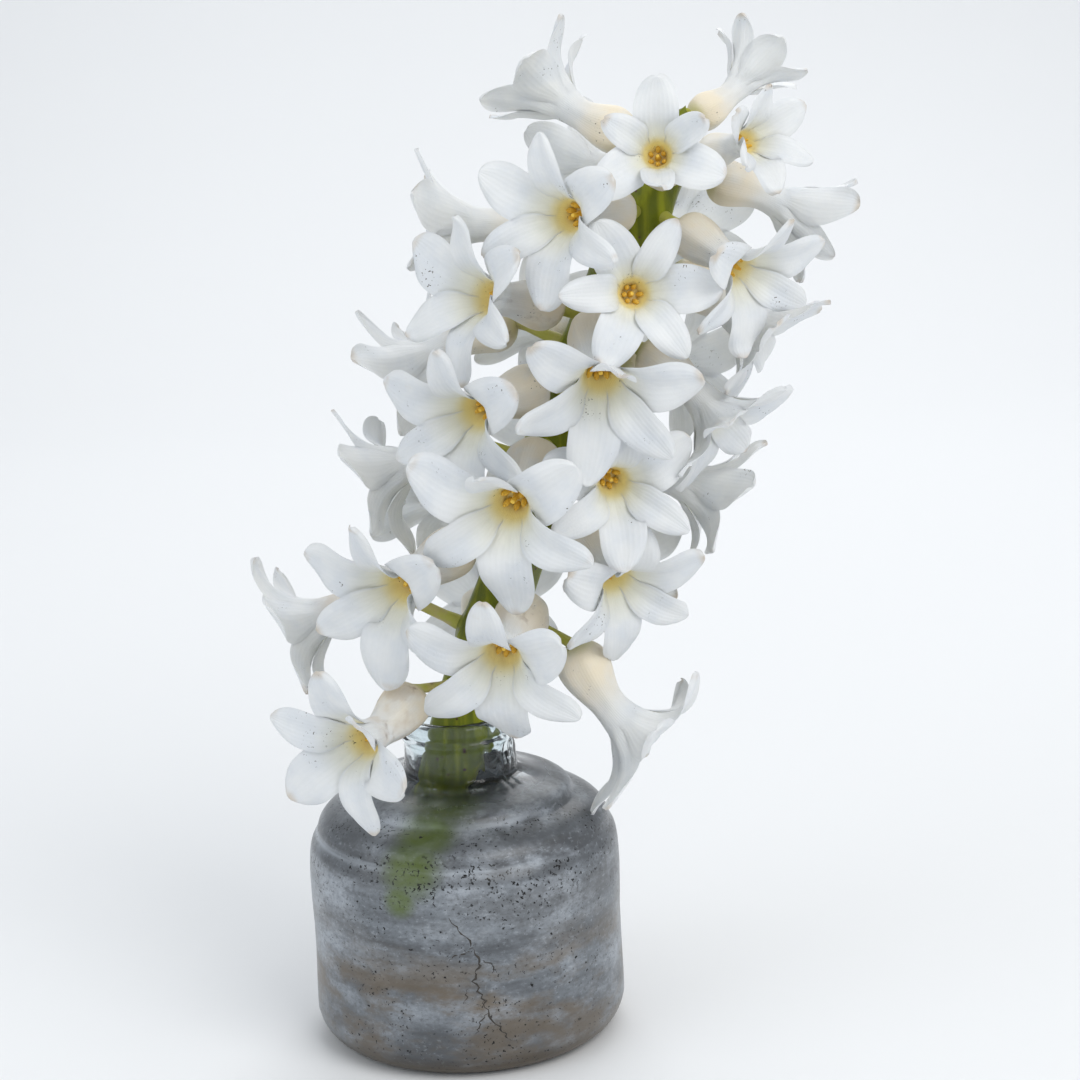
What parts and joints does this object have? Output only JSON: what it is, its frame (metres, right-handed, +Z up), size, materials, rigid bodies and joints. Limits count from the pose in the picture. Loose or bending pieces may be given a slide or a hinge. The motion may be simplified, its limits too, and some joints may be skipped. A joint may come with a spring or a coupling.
{
  "type": "hyacinth flower in a bottle vase",
  "caption": "Cut white hyacinth spike leaning in a small round-shouldered glass bottle, with a little water at the bottom.",
  "frame": {"origin": "centre of the bottle's flat underside, on the bottle's axis", "axes": "+Z up along the bottle's axis; the flower spike leans towards +X; -Y is the front, where the open florets face"},
  "size_m": [0.1378, 0.0933, 0.2252],
  "materials": {
    "bottle_glass": "old cloudy grey-blue glass, satin with soft highlights",
    "water": "clear still water",
    "stalk_green": "smooth fleshy olive green stalk, satin",
    "floret_white": "waxy white petals, satin, slightly see-through"
  },
  "bodies": {
    "root": {"bottle": "bottle_glass", "water": "water", "stalk": "stalk_green", "floret_01": "floret_white", "floret_02": "floret_white", "floret_03": "floret_white", "floret_04": "floret_white", "floret_05": "floret_white", "floret_06": "floret_white", "floret_07": "floret_white", "floret_08": "floret_white", "floret_09": "floret_white", "floret_10": "floret_white", "floret_11": "floret_white", "floret_12": "floret_white", "floret_13": "floret_white", "floret_14": "floret_white", "floret_15": "floret_white", "floret_16": "floret_white", "floret_17": "floret_white", "floret_18": "floret_white", "floret_19": "floret_white", "floret_20": "floret_white", "floret_21": "floret_white", "floret_22": "floret_white", "floret_23": "floret_white", "floret_24": "floret_white", "floret_25": "floret_white", "floret_26": "floret_white", "floret_27": "floret_white", "floret_28": "floret_white", "floret_29": "floret_white", "floret_30": "floret_white", "floret_31": "floret_white", "floret_32": "floret_white", "floret_33": "floret_white"}
  },
  "joints": []
}
